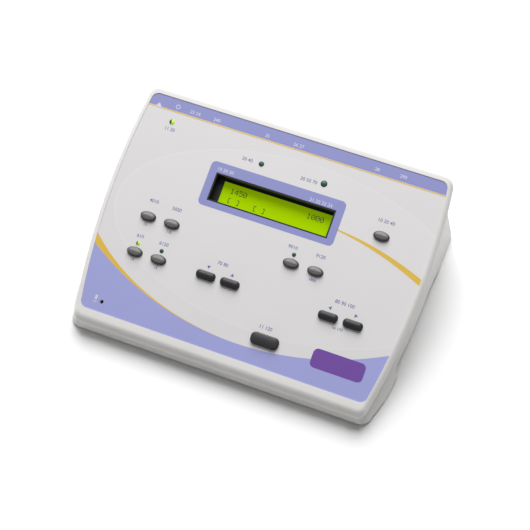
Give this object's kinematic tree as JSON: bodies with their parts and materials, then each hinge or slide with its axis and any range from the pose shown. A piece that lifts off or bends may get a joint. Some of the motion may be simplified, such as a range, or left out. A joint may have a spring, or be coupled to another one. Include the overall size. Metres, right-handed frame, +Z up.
{
  "type": "audiometer",
  "caption": "Desktop wedge-shaped audiometer with a sloping printed key panel, a recessed character display, travelling keys, lamps and rear plug sockets.",
  "frame": {"origin": "on the table, under the middle of the case's width and depth", "axes": "+X to the operator's right, +Y to the rear, +Z up"},
  "size_m": [0.27, 0.194, 0.0808],
  "materials": {
    "case": "fine satin moulded plastic",
    "faceplate": "printed matt film",
    "rear_panel": "matt dark sheet",
    "bezel": "black satin plastic",
    "display_frame": "black painted sheet metal",
    "display_glass": "yellow-green reflective display",
    "backlight": "diffusing light guide",
    "circuit_board": "green solder mask",
    "ribbon": "grey ribbon cable",
    "switch_body": "black moulded plastic",
    "plunger": "natural nylon",
    "oval_key": "satin grey key",
    "long_key": "satin charcoal key",
    "lamp_lit": "lit yellow-green lens",
    "lamp_dark": "unlit dark green lens",
    "capsule": "satin capsule",
    "boot": "black rubber",
    "screw": "zinc-plated steel",
    "foot": "dark grey rubber",
    "rocker_body": "black satin plastic",
    "rocker": "black gloss plastic",
    "socket": "black moulded plastic",
    "jack": "black moulded plastic",
    "nut": "nickel-plated nut",
    "chip": "black epoxy"
  },
  "bodies": {
    "housing": {"base": "case", "top_cover": "case", "faceplate": "faceplate", "rear_panel": "rear_panel", "display_bezel": "bezel", "lcd_frame": "display_frame", "lcd_glass": "display_glass", "lcd_backlight": "backlight", "lcd_board": "circuit_board", "lcd_ribbon": "ribbon", "main_board": "circuit_board", "key_switches": "switch_body", "power_lamp": "lamp_lit", "patient_lamp": "lamp_dark", "response_lamp": "lamp_dark", "left_lamp": "lamp_lit", "right_lamp": "lamp_dark", "tone_lamp": "lamp_dark", "microphone": "capsule", "mic_boot": "boot", "board_screws": "screw", "case_screws": "screw", "feet": "foot", "io_board": "circuit_board", "io_ribbon": "ribbon", "rocker_body": "rocker_body", "supply_socket": "socket", "printer_socket": "socket", "computer_socket": "socket", "input_jack": "jack", "response_jack": "jack", "left_jack": "jack", "right_jack": "jack", "jack_nuts": "nut", "chips": "chip"},
    "menu_button": {"menu_key": "oval_key", "menu_plunger": "plunger"},
    "print_button": {"print_key": "oval_key", "print_plunger": "plunger"},
    "left_button": {"left_key": "oval_key", "left_plunger": "plunger"},
    "right_button": {"right_key": "oval_key", "right_plunger": "plunger"},
    "level_down_button": {"level_down_key": "long_key", "level_down_plunger": "plunger"},
    "level_up_button": {"level_up_key": "long_key", "level_up_plunger": "plunger"},
    "tone_button": {"tone_key": "oval_key", "tone_plunger": "plunger"},
    "auto_button": {"auto_key": "oval_key", "auto_plunger": "plunger"},
    "frequency_down_button": {"frequency_down_key": "long_key", "frequency_down_plunger": "plunger"},
    "frequency_up_button": {"frequency_up_key": "long_key", "frequency_up_plunger": "plunger"},
    "talkover_button": {"talkover_key": "oval_key", "talkover_plunger": "plunger"},
    "present_button": {"present_key": "long_key", "present_plunger": "plunger"},
    "rocker": {"power_rocker": "rocker"}
  },
  "joints": [
    {"name": "menu_press", "type": "slide", "parent": "housing", "child": "menu_button", "axis": [0, 0.3256, -0.9455], "range_m": [0, 0.001], "stiffness_N_per_m": 1500},
    {"name": "print_press", "type": "slide", "parent": "housing", "child": "print_button", "axis": [0, 0.3256, -0.9455], "range_m": [0, 0.001], "stiffness_N_per_m": 1500},
    {"name": "left_press", "type": "slide", "parent": "housing", "child": "left_button", "axis": [0, 0.3256, -0.9455], "range_m": [0, 0.001], "stiffness_N_per_m": 1500},
    {"name": "right_press", "type": "slide", "parent": "housing", "child": "right_button", "axis": [0, 0.3256, -0.9455], "range_m": [0, 0.001], "stiffness_N_per_m": 1500},
    {"name": "level_down_press", "type": "slide", "parent": "housing", "child": "level_down_button", "axis": [0, 0.3256, -0.9455], "range_m": [0, 0.001], "stiffness_N_per_m": 1500},
    {"name": "level_up_press", "type": "slide", "parent": "housing", "child": "level_up_button", "axis": [0, 0.3256, -0.9455], "range_m": [0, 0.001], "stiffness_N_per_m": 1500},
    {"name": "tone_press", "type": "slide", "parent": "housing", "child": "tone_button", "axis": [0, 0.3256, -0.9455], "range_m": [0, 0.001], "stiffness_N_per_m": 1500},
    {"name": "auto_press", "type": "slide", "parent": "housing", "child": "auto_button", "axis": [0, 0.3256, -0.9455], "range_m": [0, 0.001], "stiffness_N_per_m": 1500},
    {"name": "frequency_down_press", "type": "slide", "parent": "housing", "child": "frequency_down_button", "axis": [0, 0.3256, -0.9455], "range_m": [0, 0.001], "stiffness_N_per_m": 1500},
    {"name": "frequency_up_press", "type": "slide", "parent": "housing", "child": "frequency_up_button", "axis": [0, 0.3256, -0.9455], "range_m": [0, 0.001], "stiffness_N_per_m": 1500},
    {"name": "talkover_press", "type": "slide", "parent": "housing", "child": "talkover_button", "axis": [0, 0.3256, -0.9455], "range_m": [0, 0.001], "stiffness_N_per_m": 1500},
    {"name": "present_press", "type": "slide", "parent": "housing", "child": "present_button", "axis": [0, 0.3256, -0.9455], "range_m": [0, 0.001], "stiffness_N_per_m": 1500},
    {"name": "power_tilt", "type": "hinge", "parent": "housing", "child": "rocker", "pos_m": [-0.096, 0.084, 0.036], "axis": [1, 0, 0], "range_deg": [0, 20]}
  ]
}
